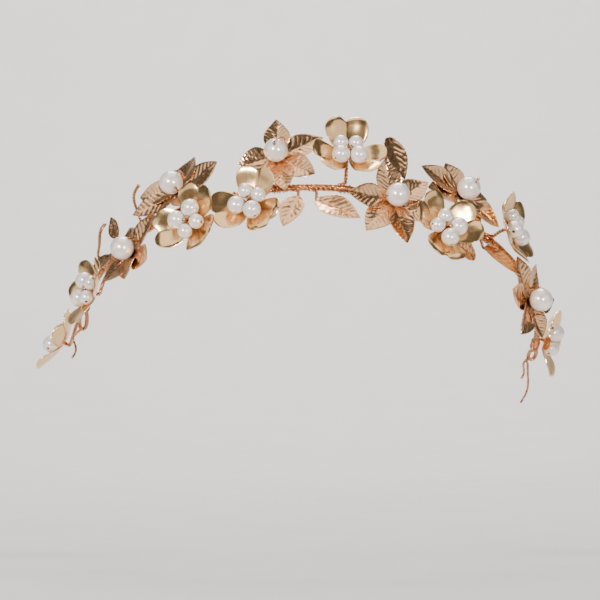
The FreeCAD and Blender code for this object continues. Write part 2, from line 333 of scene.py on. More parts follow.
def islands(node: str) -> list[list[Vector]]:
    """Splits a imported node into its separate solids.

    Args:
        node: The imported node.

    Returns:
        Each solid's vertices, in millimetres.
    """
    shape = welded(node)
    shape.verts.index_update()
    seen: set[int] = set()
    found = []
    for start in shape.verts:
        if start.index in seen:
            continue
        seen.add(start.index)
        stack, island = [start], []
        while stack:
            here = stack.pop()
            island.append(here.co.copy())
            for edge in here.link_edges:
                other = edge.other_vert(here)
                if other.index not in seen:
                    seen.add(other.index)
                    stack.append(other)
        found.append(island)
    shape.free()
    return found


def middle(points: Sequence[Vector]) -> Vector:
    """The centre of some points' box.

    Args:
        points: The points.

    Returns:
        The middle of their box.
    """
    low = Vector([min(point[axis] for point in points) for axis in range(3)])
    high = Vector([max(point[axis] for point in points) for axis in range(3)])
    return (low + high) / 2


@dataclass
class Band:
    """The stem's arc over the head.

    Attributes:
        radius: The arc's radius.
        start: Station of its left end: degrees from the crown, below nought to the left.
        finish: Station of its right end.
        over: The arc's axis, across the stem.
    """

    radius: float
    start: float
    finish: float
    over: Vector

    @classmethod
    def read(cls) -> "Band":
        """Reads the arc from the stem node and the head mount.

        Returns:
            The band.
        """
        mount = next(item for item in frame["record"]["mounts"] if item["name"] == "head")
        band = cls(1.0, 0.0, 0.0, Vector(mount["axis"]).normalized())
        points = corners("stem_core")
        reaches = [(point - band.over * point.dot(band.over)).length for point in points]
        stations = [band.station(point) for point in points]
        band.radius = (min(reaches) + max(reaches)) / 2
        band.start, band.finish = min(stations), max(stations)
        return band

    def axes(self, station: float) -> tuple[Vector, Vector, Vector]:
        """The stem's directions at a station.

        Args:
            station: Degrees from the crown towards the right end.

        Returns:
            The directions outward, along the stem and across it.
        """
        side = Vector((1, 0, 0))
        top = self.over.cross(side)
        top = top if top.z > 0 else -top
        angle = math.radians(station)
        outward = side * math.sin(angle) + top * math.cos(angle)
        along = side * math.cos(angle) - top * math.sin(angle)
        return outward, along, self.over

    def station(self, point: Vector) -> float:
        """The station that a point is beside, in degrees."""
        outward, along, _ = self.axes(0)
        return math.degrees(math.atan2(point.dot(along), point.dot(outward)))

    def point(self, station: float) -> Vector:
        """The point of the stem's middle line at a station."""
        return self.axes(station)[0] * self.radius


BAND = Band.read()


@dataclass
class Seat:
    """Where a pressed blank sits.

    Attributes:
        origin: The lowest point of its middle.
        right: Along the stem, or along a loose leaf.
        over: Square to that, in the blank's plane.
        face: The direction that it faces.
        heading: Degrees from its right side to its first leaf or petal.
    """

    origin: Vector
    right: Vector
    over: Vector
    face: Vector
    heading: float

    @classmethod
    def of_blank(cls, node: str, folds: int) -> "Seat":
        """Finds a blank's seat from its mesh.

        Args:
            node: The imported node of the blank.
            folds: How many equal leaves or petals it has.

        Returns:
            The seat. Its right side lies along the stem and its heading is in degrees from there.
        """
        shape = welded(node)
        areas = [(poly.calc_area(), poly.calc_center_median()) for poly in shape.faces]
        shape.free()
        total = sum(area for area, _ in areas)
        centre = sum((spot * area for area, spot in areas), Vector()) / total
        spread = Matrix(((0, 0, 0),) * 3)
        for area, spot in areas:
            arm = spot - centre
            for row in range(3):
                for column in range(3):
                    spread[row][column] += area * arm[row] * arm[column]
        face = thinnest(spread)
        face = face if face.dot(centre) > 0 else -face
        _, along, _ = BAND.axes(BAND.station(centre))
        right = (along - face * along.dot(face)).normalized()
        over = face.cross(right)
        wave = complex(0, 0)
        for area, spot in areas:
            arm = spot - centre
            x, y = arm.dot(right), arm.dot(over)
            wave += area * (x * x + y * y) ** 1.5 * complex(math.cos(folds * math.atan2(y, x)),
                                                           math.sin(folds * math.atan2(y, x)))
        heading = math.degrees(math.atan2(wave.imag, wave.real)) / folds
        depth = min((point - centre).dot(face) for point in corners(node))
        return cls(centre + face * depth, right, over, face, heading % (360 / folds))

    @classmethod
    def of_leaf(cls, node: str) -> tuple["Seat", float]:
        """Finds a single leaf's seat from its mesh.

        Args:
            node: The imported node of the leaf.

        Returns:
            The seat, whose right side lies along the leaf, and the leaf's length.
        """
        points = corners(node)
        centre = middle(points)
        tip = max(points, key=lambda point: (point - centre).length)
        root = max(points, key=lambda point: (point - tip).length)
        right = (tip - root).normalized()
        outward, _, _ = BAND.axes(BAND.station(centre))
        face = (outward - right * outward.dot(right)).normalized()
        return cls(root, right, face.cross(right), face, 0.0), (tip - root).length

    def matrix(self) -> Matrix:
        """From the blank's own axes to the frame's, in millimetres."""
        turned = Matrix((self.right, self.over, self.face)).transposed().to_4x4()
        return Matrix.Translation(self.origin) @ turned

    def at(self, x: float, y: float, z: float) -> Vector:
        """A point given in the seat's own axes."""
        return self.origin + self.right * x + self.over * y + self.face * z


def thinnest(spread: Matrix) -> Vector:
    """The direction in which a cloud of points spreads least.

    Args:
        spread: The cloud's second moments.

    Returns:
        A unit vector, found by repeated multiplication with the inverse of the moments.
    """
    steadying = 1e-6   # keeps a perfectly flat cloud's moments invertible
    rounds = 60
    sharp = (spread + Matrix.Identity(3) * (spread[0][0] * steadying)).inverted()
    guess = Vector((0.31, -0.74, 0.59))
    for _ in range(rounds):
        guess = (sharp @ guess).normalized()
    return guess


# --- mesh helpers ---


def smooth_mesh(name: str, shape: bmesh.types.BMesh) -> bpy.types.Object:
    """Turns a bmesh into an object in the scene, shaded smooth.

    Args:
        name: The object's name.
        shape: The shape, in metres, which is freed.

    Returns:
        The object.
    """
    mesh = bpy.data.meshes.new(name)
    shape.to_mesh(mesh)
    shape.free()
    mesh.polygons.foreach_set("use_smooth", [True] * len(mesh.polygons))
    piece = bpy.data.objects.new(name, mesh)
    bpy.context.scene.collection.objects.link(piece)
    return piece


def finish_piece(name: str, shape: bmesh.types.BMesh, place: Matrix, look: Finish,
                 node: str, body: str = "root") -> bpy.types.Object:
    """Turns a modelled shape into a dressed piece of the object.

    Args:
        name: The piece's name.
        shape: The shape, in millimetres, which is freed.
        place: From the shape's own axes to the frame's, in millimetres.
        look: The finish it takes.
        node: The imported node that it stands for.
        body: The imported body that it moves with.

    Returns:
        The new object.
    """
    bmesh.ops.transform(shape, matrix=Matrix.Scale(MM, 4) @ place, verts=shape.verts)
    piece = smooth_mesh(name, shape)
    piece.data.materials.append(look.material())
    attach(piece, body)
    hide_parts(node)
    return piece


def thickened(piece: bpy.types.Object, sheet: float, lip: float) -> None:
    """Gives a pressed sheet its thickness and rounds its edge.

    Args:
        piece: The sheet's object.
        sheet: Thickness in millimetres.
        lip: How far the edge is rounded, in millimetres.
    """
    wall = piece.modifiers.new("sheet", "SOLIDIFY")
    wall.thickness = sheet * MM
    wall.offset = 1.0
    wall.use_even_offset = False
    edge = piece.modifiers.new("lip", "BEVEL")
    edge.width = lip * MM
    edge.segments = 2
    edge.limit_method = "ANGLE"
    edge.angle_limit = math.radians(55)


def painted_light_and_tarnish_layer(shape: bmesh.types.BMesh) -> bmesh.types.BMLayerItem:
    """The vertex layer named relief, from 0 to 1, that picks a plated finish's colour: painted shade and highlight
    on petals and leaves, random tarnish on wires.
    """
    return shape.verts.layers.float.get("relief") or shape.verts.layers.float.new("relief")


def sheet_grid(shape: bmesh.types.BMesh, along: int, across: int,
               form: Callable[[float, float], tuple[Vector, float]]) -> None:
    """Adds a sheet that a form bends from a flat grid.

    Args:
        shape: The bmesh that takes the sheet.
        along: Cells from root to tip.
        across: Cells from side to side.
        form: From u in 0..1 (root to tip) and v in -1..1 (side to side) to a place and its relief.
    """
    layer = painted_light_and_tarnish_layer(shape)
    grid = bmesh.ops.create_grid(shape, x_segments=along, y_segments=across, size=1.0)
    for vertex in grid["verts"]:
        vertex.co, vertex[layer] = form((vertex.co.x + 1) / 2, vertex.co.y)


STEPS_PER_TURN = 12   # points in one turn of a twist
WIRE_TARNISH = 0.36   # a wire's middle relief, from dark to bright
WIRE_MOTTLE = 0.62    # how far its relief strays
WIRE_GRAIN = 1.5      # patches per millimetre


@dataclass
class Strand:
    """A round wire.

    Attributes:
        points: The points of its middle line, in millimetres.
        radius: Its radius.
    """

    points: list[Vector]
    radius: float


def wire_piece(name: str, strands: Sequence[Strand], node: str, sides: int = 2) -> None:
    """Makes one piece of several round wires.

    Args:
        name: The piece's name.
        strands: The wires.
        node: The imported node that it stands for.
        sides: Bevel resolution of the round section.
    """
    shape = bmesh.new()
    for radius in sorted({strand.radius for strand in strands}):
        curve = bpy.data.curves.new(name, "CURVE")
        curve.dimensions = "3D"
        curve.bevel_depth = radius
        curve.bevel_resolution = sides
        curve.use_fill_caps = True
        for strand in strands:
            if strand.radius != radius:
                continue
            spline = curve.splines.new("POLY")
            spline.points.add(len(strand.points) - 1)
            for knot, point in zip(spline.points, strand.points):
                knot.co = (*point, 1.0)
        holder = bpy.data.objects.new(name, curve)
        bpy.context.scene.collection.objects.link(holder)
        bpy.context.view_layer.update()
        mesh = bpy.data.meshes.new_from_object(holder.evaluated_get(bpy.context.evaluated_depsgraph_get()))
        shape.from_mesh(mesh)
        bpy.data.objects.remove(holder)
        bpy.data.curves.remove(curve)
        bpy.data.meshes.remove(mesh)
    layer = painted_light_and_tarnish_layer(shape)
    for vertex in shape.verts:
        vertex[layer] = WIRE_TARNISH + WIRE_MOTTLE * noise.noise(vertex.co * WIRE_GRAIN)
    finish_piece(name, shape, Matrix.Identity(4), Finish.WIRE, node)


def smooth_path(points: Sequence[Vector], per_run: int = 10) -> list[Vector]:
    """A smooth line through a few points, by Catmull-Rom interpolation.

    Args:
        points: The points.
        per_run: Steps between each two points.

    Returns:
        The line.
    """
    ends = [points[0] * 2 - points[1], *points, points[-1] * 2 - points[-2]]
    line = []
    for a, b, c, d in zip(ends, ends[1:], ends[2:], ends[3:]):
        for step in range(per_run):
            s = step / per_run
            line.append((b * 2 + (c - a) * s + (a * 2 - b * 5 + c * 4 - d) * s * s
                         + (b * 3 - a - c * 3 + d) * s * s * s) / 2)
    return [*line, points[-1].copy()]


def twist(path: Sequence[Vector], reach: float, wire: float, pitch: float, count: int = 2,
          phase: float = 0.0, taper: float = 1.0, wobble: float = 0.0) -> list[Strand]:
    """Several wires twisted round a path.

    Args:
        path: The middle line, in millimetres.
        reach: From the middle line to each wire's centre.
        wire: Each wire's radius.
        pitch: Length of one turn.
        count: How many wires.
        phase: Where round the path the first wire starts, in radians.
        taper: The reach's share at the far end.
        wobble: How unevenly the twist sits, as a share of the reach.

    Returns:
        The wires.
    """
    steps = max(8, int(sum((b - a).length for a, b in zip(path, path[1:])) / pitch * STEPS_PER_TURN))
    line = even(path, steps)
    side = (line[1] - line[0]).orthogonal().normalized()
    strands = [Strand([], wire) for _ in range(count)]
    travelled = 0.0
    for index, spot in enumerate(line):
        ahead = (line[min(index + 1, len(line) - 1)] - line[max(index - 1, 0)]).normalized()
        side = (side - ahead * side.dot(ahead)).normalized()
        third = ahead.cross(side)
        if index:
            travelled += (spot - line[index - 1]).length
        share = 1 + (taper - 1) * index / (len(line) - 1)
        unrest = 1 + wobble * noise.noise(spot * 0.35)
        for number, strand in enumerate(strands):
            angle = phase + WHOLE_TURN * (travelled / pitch + number / count)
            angle += wobble * 2.5 * noise.noise(spot * 0.12)
            radial = side * math.cos(angle) + third * math.sin(angle)
            strand.points.append(spot + radial * reach * share * unrest)
    return strands


def even(path: Sequence[Vector], steps: int) -> list[Vector]:
    """A line with its points evenly spaced.

    Args:
        path: The line.
        steps: How many runs it gets.

    Returns:
        The new line.
    """
    marks = [0.0]
    for a, b in zip(path, path[1:]):
        marks.append(marks[-1] + (b - a).length)
    line, run = [], 0
    for step in range(steps + 1):
        want = marks[-1] * step / steps
        while run < len(path) - 2 and marks[run + 1] < want:
            run += 1
        gap = marks[run + 1] - marks[run] or 1.0
        line.append(path[run].lerp(path[run + 1], min(1.0, max(0.0, (want - marks[run]) / gap))))
    return line


def pearl_shape(radius: float, hole: float) -> bmesh.types.BMesh:
    """A bead turned about Z with a hole through it and a small dished rim at each mouth.

    Args:
        radius: The bead's radius.
        hole: The hole's radius.

    Returns:
        The bead, in millimetres.
    """
    shape = bmesh.new()
    rim = hole * 1.45
    top = math.sqrt(radius ** 2 - rim ** 2)
    mouth = ((hole, 0.5), (hole, 0.16), (hole * 1.12, 0.05))   # radius, and depth below the top
    profile = [Vector((reach, 0, top - depth)) for reach, depth in mouth]
    steps = 26
    first = math.asin(rim / radius)
    for step in range(steps + 1):
        angle = first + (math.pi - 2 * first) * step / steps
        profile.append(Vector((radius * math.sin(angle), 0, radius * math.cos(angle))))
    profile += [Vector((point.x, 0, -point.z)) for point in reversed(profile[:len(mouth)])]
    ring = [shape.verts.new(point) for point in profile]
    edges = [shape.edges.new(pair) for pair in zip(ring, ring[1:] + ring[:1])]
    bmesh.ops.spin(shape, geom=ring + edges, cent=(0, 0, 0), axis=(0, 0, 1), angle=WHOLE_TURN,
                   steps=40, use_merge=True)
    bmesh.ops.remove_doubles(shape, verts=shape.verts, dist=MERGE_GAP / 2)
    bmesh.ops.recalc_face_normals(shape, faces=shape.faces)
    return shape


def facing(centre: Vector, axis: Vector) -> Matrix:
    """A placement whose Z lies along an axis."""
    return Matrix.Translation(centre) @ axis.to_track_quat("Z", "Y").to_matrix().to_4x4()


# --- pressed blanks ---


@dataclass
class PetalStyle:
    """How one petal of a cluster flower is bent.

    Attributes:
        heading: Degrees that it strays from its even place.
        reach: From the flower's middle to its edge.
        cup: How fast the bowl rises.
        lip: How far its edge rolls back.
        ripple: Height of the waves at its edge.
        phase: Where those waves start.
    """

    heading: float
    reach: float
    cup: float
    lip: float
    ripple: float
    phase: float


@dataclass
class VeinedLeaf:
    """A pressed leaf with a midrib, side veins and a toothed edge.

    Attributes:
        length: Root to tip.
        width: Across the belly.
        fold: Degrees that each half rises from the midrib.
        arch: Bend along the leaf, in degrees from root to tip; positive lifts the tip.
        curl: Extra bend over the last third, in degrees.
        roll: Twist along the leaf, in degrees.
        veins: Side veins on each half.
        relief: Height of the veins.
        crease: Height of the crumples in the sheet.
        neck: Half width where the leaf leaves its root.
    """

    length: float
    width: float
    fold: float = 14.0
    arch: float = 12.0
    curl: float = 0.0
    roll: float = 0.0
    veins: int = 8
    relief: float = 0.24
    crease: float = 0.10
    neck: float = 0.7

    def half_width(self, u: float) -> float:
        """Half of the blade's width at a share of its length."""
        belly = math.sin(math.pi * min(1.0, u ** 0.86)) ** 0.92
        return self.neck * (1 - u) ** 2 + (self.width / 2) * belly

    def form(self, u: float, v: float) -> tuple[Vector, float]:
        """Where a point of the leaf lies.

        Args:
            u: Share of its length, from root to tip.
            v: Share of its half width, from -1 to 1.

        Returns:
            The point, in millimetres, and its relief, which paints shade between the veins and a highlight on the
            edge.
        """
        across = v * (self.half_width(u) + self.tooth(u, v))
        blade, midrib, fade = self.pressing(u, v, across)
        crease = noise.noise(Vector((self.length * u, across, self.length + self.roll)) * 0.75)
        height = self.relief * (blade * 0.8 + midrib * 0.9) + self.crease * crease * fade
        fold = math.radians(self.fold) * (0.5 + 0.5 * math.sin(math.pi * min(1.0, u * 1.1)))
        side, up = across * math.cos(fold), abs(across) * math.sin(fold) + height
        turn = math.radians(self.roll) * u
        side, up = side * math.cos(turn) - up * math.sin(turn), side * math.sin(turn) + up * math.cos(turn)
        x, z, bend = self.centre_line(u)
        # Painted shade and highlight: the flat between the veins gets a low relief and so the dark colour as
        # painted shade, the raised veins and midrib the bright one, and the edge is painted bright as a highlight.
        rim = abs(v) ** 6
        relief = min(1.0, 0.12 + 0.75 * blade + 0.7 * midrib + 0.55 * rim)
        return Vector((x - up * math.sin(bend), side, z + up * math.cos(bend))), relief

    def tooth(self, u: float, v: float) -> float:
        """How far the toothed edge stands out past the blade's half width.

        Args:
            u: Share of the leaf's length.
            v: Share of its half width.

        Returns:
            The distance, which is nothing away from the edge.
        """
        teeth = self.veins * 1.6
        depth = 0.05 * self.width * (1 - u)
        return depth * abs(v) ** 6 * abs(math.sin(math.pi * u * teeth))

    def pressing(self, u: float, v: float, across: float) -> tuple[float, float, float]:
        """How the die raises the leaf's veins.

        Args:
            u: Share of the leaf's length.
            v: Share of its half width.
            across: Distance from the midrib.

        Returns:
            The side veins' height and the midrib's, as shares, and how they fade to the leaf's edges.
        """
        side_share = abs(v) * self.half_width(u) * 2 / self.width
        unrest = noise.noise(Vector((u * 4.0, v * 1.3, self.length * 3 + self.fold)))
        stagger = 0.22 * math.copysign(1.0, v)
        slant = self.veins * (u - 0.25 * side_share ** 0.85) + stagger + 0.45 * unrest
        rib = abs(math.sin(math.pi * slant))
        fade = min(1.0, 5 * (1 - u)) * min(1.0, 6 * u) * (1 - abs(v) ** 8)
        blade = rib ** 0.7 * min(1.0, side_share * 5.0) * fade * (0.8 + 0.5 * unrest)
        midrib = math.exp(-(across / (0.05 * self.width)) ** 2) * min(1.0, 6 * (1 - u))
        return blade, midrib, fade

    def centre_line(self, u: float) -> tuple[float, float, float]:
        """The midrib at a share of the leaf's length.

        Args:
            u: The share, from root to tip.

        Returns:
            Its reach, height and slope there.
        """
        x = z = slope = 0.0
        steps = 16
        for step in range(steps):
            s = (step + 0.5) / steps * u
            slope = math.radians(self.arch * s + self.curl * max(0.0, s - 0.62) / 0.38)
            x += math.cos(slope) * self.length * u / steps
            z += math.sin(slope) * self.length * u / steps
        return x, z, slope


def hub_disc(shape: bmesh.types.BMesh, radius: float, height: float) -> None:
    """Adds the small round middle of a blank.

    Args:
        shape: The bmesh that takes it.
        radius: Its radius.
        height: How far it stands over the blank's seat.
    """
    layer = painted_light_and_tarnish_layer(shape)
    disc = bmesh.ops.create_circle(shape, cap_ends=True, cap_tris=False, segments=36, radius=radius)
    faces = [face for face in shape.faces if all(vertex in disc["verts"] for vertex in face.verts)]
    bmesh.ops.inset_individual(shape, faces=faces, thickness=radius * 0.4, depth=0.0)
    for vertex in disc["verts"]:
        vertex[layer] = 0.6
    bmesh.ops.translate(shape, verts=list({v for face in faces for v in face.verts} | set(disc["verts"])),
                        vec=(0, 0, height))


# --- flowers ---


@dataclass
class ClusterFlower:
    """A flower of three smooth cupped petals with four small pearls.

    Attributes:
        number: Its place in the row of clusters.
        petals: How each petal is bent, by heading order.
        sheet: Thickness of the pressed metal.
        edge: How far its edges are rounded.
        root: From the middle to where a petal starts.
        hole: Radius of a pearl's hole.
        thread: Radius of the wire through the pearls.
    """

    number: int
    petals: Sequence[PetalStyle]
    sheet: float = 0.3
    edge: float = 0.1
    root: float = 1.0
    hole: float = 0.5
    thread: float = 0.22
    seat: Seat = field(init=False)

    def __post_init__(self) -> None:
        """Reads the flower's seat from its blank."""
        self.name = f"cluster_{self.number}"
        self.seat = Seat.of_blank(f"{self.name}_petals", 3)

    def petal_form(self, style: PetalStyle,
                   heading: float) -> Callable[[float, float], tuple[Vector, float]]:
        """Describes one petal.

        Args:
            style: How the petal is bent.
            heading: Degrees from the seat's right side to the petal.

        Returns:
            The petal's surface, as a form for sheet_grid.
        """
        bowl_end = style.reach * 0.68

        def form(u: float, v: float) -> tuple[Vector, float]:
            """Gives the place and relief of a point on the petal."""
            notch = 1.5 * math.exp(-(v / 0.14) ** 2)
            rim = style.reach - notch - 4.2 * abs(v) ** 4.5
            reach = self.root + (rim - self.root) * u
            angle = math.radians(heading + v * (58.0 - 9.0 * u * u))
            bowl = style.cup * reach * reach
            lip = style.lip * 0.019 * max(0.0, reach - bowl_end) ** 3
            waves = style.ripple * u ** 3 * math.sin(2.3 * math.pi * v + style.phase)
            groove = 0.55 * u * u * math.exp(-(v / 0.15) ** 2)
            lobes = 0.5 * u * u * math.exp(-((abs(v) - 0.48) / 0.24) ** 2)
            droop = 0.5 * abs(v) ** 6 * u
            # Painted shade: the petal's colour darkens towards the flower's middle, where the petals meet.
            relief = 0.95 - 0.65 * math.exp(-(reach / 5.0) ** 2)
            height = bowl - lip + waves - groove + lobes - droop
            return Vector((reach * math.cos(angle), reach * math.sin(angle), height)), relief

        return form

    def build(self) -> None:
        """Builds the petals, the pearls and the wires."""
        self.build_petals()
        self.build_pearls()
        self.build_wires()

    def build_petals(self) -> None:
        """Presses the three petals from one blank."""
        shape = bmesh.new()
        for index, style in enumerate(self.petals):
            heading = self.seat.heading + 120 * index + style.heading
            sheet_grid(shape, 26, 40, self.petal_form(style, heading))
        hub_disc(shape, 2.2, 0.05)
        bmesh.ops.recalc_face_normals(shape, faces=shape.faces)
        piece = finish_piece(f"{self.name}_petal_cups", shape, self.seat.matrix(), Finish.PETAL,
                             f"{self.name}_petals")
        thickened(piece, self.sheet, self.edge)

    def pearls(self) -> list[tuple[Vector, float, Vector]]:
        """Reads the four pearls.

        Returns:
            Each pearl's centre, its radius, and the direction out from the flower's middle to it.
        """
        found = []
        for island in islands(f"{self.name}_pearls"):
            centre = middle(island)
            radius = max((point - centre).length for point in island)
            out = centre - self.seat.origin
            out = (out - self.seat.face * out.dot(self.seat.face)).normalized()
            found.append((centre, radius, out))
        return found

    def build_pearls(self) -> None:
        """Turns the four pearls, each drilled along the wire that leads out from the middle."""
        shape = bmesh.new()
        for centre, radius, out in self.pearls():
            self.add_pearl(shape, radius, centre, out)
        layer = painted_light_and_tarnish_layer(shape)
        for vertex in shape.verts:
            vertex[layer] = 1.0
        finish_piece(f"{self.name}_pearl_beads", shape, Matrix.Identity(4), Finish.PEARL,
                     f"{self.name}_pearls")

    def add_pearl(self, shape: bmesh.types.BMesh, radius: float, centre: Vector, out: Vector) -> None:
        """Adds one pearl to the cluster.

        Args:
            shape: The bmesh that takes it.
            radius: Its radius.
            centre: Its centre.
            out: The direction that it is drilled in.
        """
        bead = pearl_shape(radius, self.hole)
        bmesh.ops.transform(bead, matrix=facing(centre, out), verts=bead.verts)
        mesh = bpy.data.meshes.new("bead")
        bead.to_mesh(mesh)
        bead.free()
        shape.from_mesh(mesh)
        bpy.data.meshes.remove(mesh)

    def build_wires(self) -> None:
        """Twists the stalk and loops the thread through each pearl."""
        strands = stalk_strands(self.seat, 1.6, [self.seat.at(0, 0, 1.2)], self.number)
        foot = self.seat.at(0, 0, 0.6)
        for centre, radius, out in self.pearls():
            knee = self.seat.origin + self.seat.face * (centre - self.seat.origin).dot(self.seat.face)
            route = [foot, knee + out * 0.6, centre, centre + out * (radius - 0.1)]
            strands.append(Strand(smooth_path(route), self.thread))
        wire_piece(f"{self.name}_wires", strands, f"{self.name}_wire")


END_MARGIN = 1.8   # degrees of stem beyond the last stalk


def stalk_strands(seat: Seat, below: float, onward: Sequence[Vector], seed: int,
                  wire: float = 0.36) -> list[Strand]:
    """The twisted pair from the stem to the back of a flower or leaf.

    Args:
        seat: The flower's seat.
        below: How far behind the blank the pair arrives.
        onward: Further points that it goes on to.
        seed: Varies the twist.
        wire: Each wire's radius.

    Returns:
        The pair's wires.
    """
    station = min(max(BAND.station(seat.origin), BAND.start + END_MARGIN), BAND.finish - END_MARGIN)
    centre = BAND.point(station)
    _, along, _ = BAND.axes(station)
    behind = seat.at(0, 0, -below)
    away = behind - centre
    away = (away - along * away.dot(along)).normalized()
    path = smooth_path([centre + away * 1.15 - along * 2.4, centre + away * 1.5 - along * 0.9,
                        centre + away * 2.4, centre.lerp(behind, 0.75), behind, *onward], 8)
    return twist(path, reach=wire * 0.95, wire=wire, pitch=2.3, phase=seed * 1.7, wobble=0.15)


@dataclass
class StarFlower:
    """A flower of six veined leaves with one large pearl that turns on its wire.

    Attributes:
        number: Its place in the row of stars.
        headings: Degrees from the stem's direction to each leaf, round the flower's face.
        lengths: Each leaf's length.
        arches: Each leaf's bend along its length, in degrees.
        rolls: Degrees that each leaf twists along its length.
        folds: Degrees that each leaf's halves rise.
        curl: Extra bend of each leaf's tip, in degrees.
        width: Each leaf's width.
        root: From the middle to where a leaf starts.
        hole: Radius of the pearl's hole.
        sheet: Thickness of the pressed metal.
        edge: How far its edges are rounded.
        loop_wire: Radius of the wire that the pearl turns on.
    """

    number: int
    headings: Sequence[float]
    lengths: Sequence[float]
    arches: Sequence[float]
    rolls: Sequence[float]
    folds: Sequence[float]
    curl: float = -8.0
    width: float = 8.8
    root: float = 2.0
    hole: float = 0.5
    sheet: float = 0.28
    edge: float = 0.07
    loop_wire: float = 0.26
    seat: Seat = field(init=False)

    def __post_init__(self) -> None:
        """Reads the flower's seat and its pearl's axle."""
        self.name = f"star_{self.number}"
        self.seat = Seat.of_blank(f"{self.name}_leaves", 6)
        joint = next(item for item in frame["joints"] if item["name"] == f"{self.name}_pearl_spin")
        self.centre = Vector(joint["pos_m"]) / MM
        self.axle = Vector(joint["axis"]).normalized()

    def build(self) -> None:
        """Builds the leaves, the pearl and the wires."""
        self.build_leaves()
        bead = pearl_shape(self.pearl_radius(), self.hole)
        layer = painted_light_and_tarnish_layer(bead)
        for vertex in bead.verts:
            vertex[layer] = 1.0
        finish_piece(f"{self.name}_bead", bead, facing(self.centre, self.axle), Finish.PEARL,
                     f"{self.name}_pearl", f"{self.name}_pearl")
        self.build_wires()

    def pearl_radius(self) -> float:
        """The large pearl's radius."""
        return max((point - self.centre).length for point in corners(f"{self.name}_pearl"))

    def build_leaves(self) -> None:
        """Presses the six leaves from one blank."""
        shape = bmesh.new()
        for index in range(6):
            leaf = VeinedLeaf(self.lengths[index], self.width, self.folds[index], self.arches[index],
                              curl=self.curl, roll=self.rolls[index])
            turn = Matrix.Rotation(math.radians(self.headings[index]), 4, "Z")
            step = turn @ Matrix.Translation((self.root, 0, 0.1))

            def form(u: float, v: float, leaf: VeinedLeaf = leaf,
                     step: Matrix = step) -> tuple[Vector, float]:
                """Gives the place and relief of a point on one of the flower's leaves."""
                spot, relief = leaf.form(u, v)
                return step @ spot, relief

            sheet_grid(shape, 52, 22, form)
        hub_disc(shape, 2.7, 0.12)
        bmesh.ops.recalc_face_normals(shape, faces=shape.faces)
        piece = finish_piece(f"{self.name}_leaf_sprays", shape, self.seat.matrix(), Finish.LEAF,
                             f"{self.name}_leaves")
        thickened(piece, self.sheet, self.edge)

    def build_wires(self) -> None:
        """Twists the stalk and bends the loop that the pearl turns on."""
        strands = stalk_strands(self.seat, 1.8, [self.seat.at(0, 0, -0.3)], self.number + 9)
        clearance = 0.8
        hoop = self.pearl_radius() + clearance
        knot = self.seat.at(0, 0, -1.0)
        face = self.seat.face
        flat = self.axle - face * self.axle.dot(face)
        lies_flat = flat.length > 0.5
        if lies_flat:
            side = flat.normalized()
            foot = self.seat.at(0, 0, -0.4)
            route = [knot, foot - side * hoop * 0.8, self.centre - side * hoop, self.centre - side * 2,
                     self.centre + side * 2, self.centre + side * hoop, foot + side * hoop * 0.8, knot]
        else:
            heading = math.radians(self.seat.heading + 30)
            side = self.seat.right * math.cos(heading) + self.seat.over * math.sin(heading)
            route = [knot, self.centre - face * 2, self.centre + face * (hoop - 0.3),
                     self.centre + (face + side).normalized() * hoop, self.centre + side * hoop,
                     self.seat.at(0, 0, -0.4) + side * hoop * 0.8, knot]
        strands.append(Strand(smooth_path(route), self.loop_wire))
        wire_piece(f"{self.name}_wires", strands, f"{self.name}_wire")


@dataclass
class LooseLeaf:
    """A veined leaf that stands alone on a short twisted twig.

    Attributes:
        number: Its place in the row of loose leaves.
        width: Across the belly.
        fold: Degrees that each half rises from the midrib.
        arch: Bend along the leaf, in degrees.
        veins: Side veins on each half.
        sheet: Thickness of the pressed metal.
        edge: How far its edges are rounded.
        twig_wire: Radius of each of the twig's wires.
    """

    number: int
    width: float = 7.5
    fold: float = 16.0
    arch: float = 10.0
    veins: int = 7
    sheet: float = 0.28
    edge: float = 0.07
    twig_wire: float = 0.3

    def build(self) -> list[Strand]:
        """Builds the leaf.

        Returns:
            The wires of its twig, which the twigs' piece takes.
        """
        node = f"leaf_{self.number}"
        seat, length = Seat.of_leaf(node)
        leaf = VeinedLeaf(length, self.width, self.fold, self.arch, veins=self.veins)
        shape = bmesh.new()
        sheet_grid(shape, 60, 26, leaf.form)
        bmesh.ops.recalc_face_normals(shape, faces=shape.faces)
        piece = finish_piece(f"{node}_blade", shape, seat.matrix(), Finish.LEAF, node)
        thickened(piece, self.sheet, self.edge)
        return stalk_strands(seat, 0.5, [seat.at(1.6, 0, -0.05)], self.number, wire=self.twig_wire)


# --- the stem ---


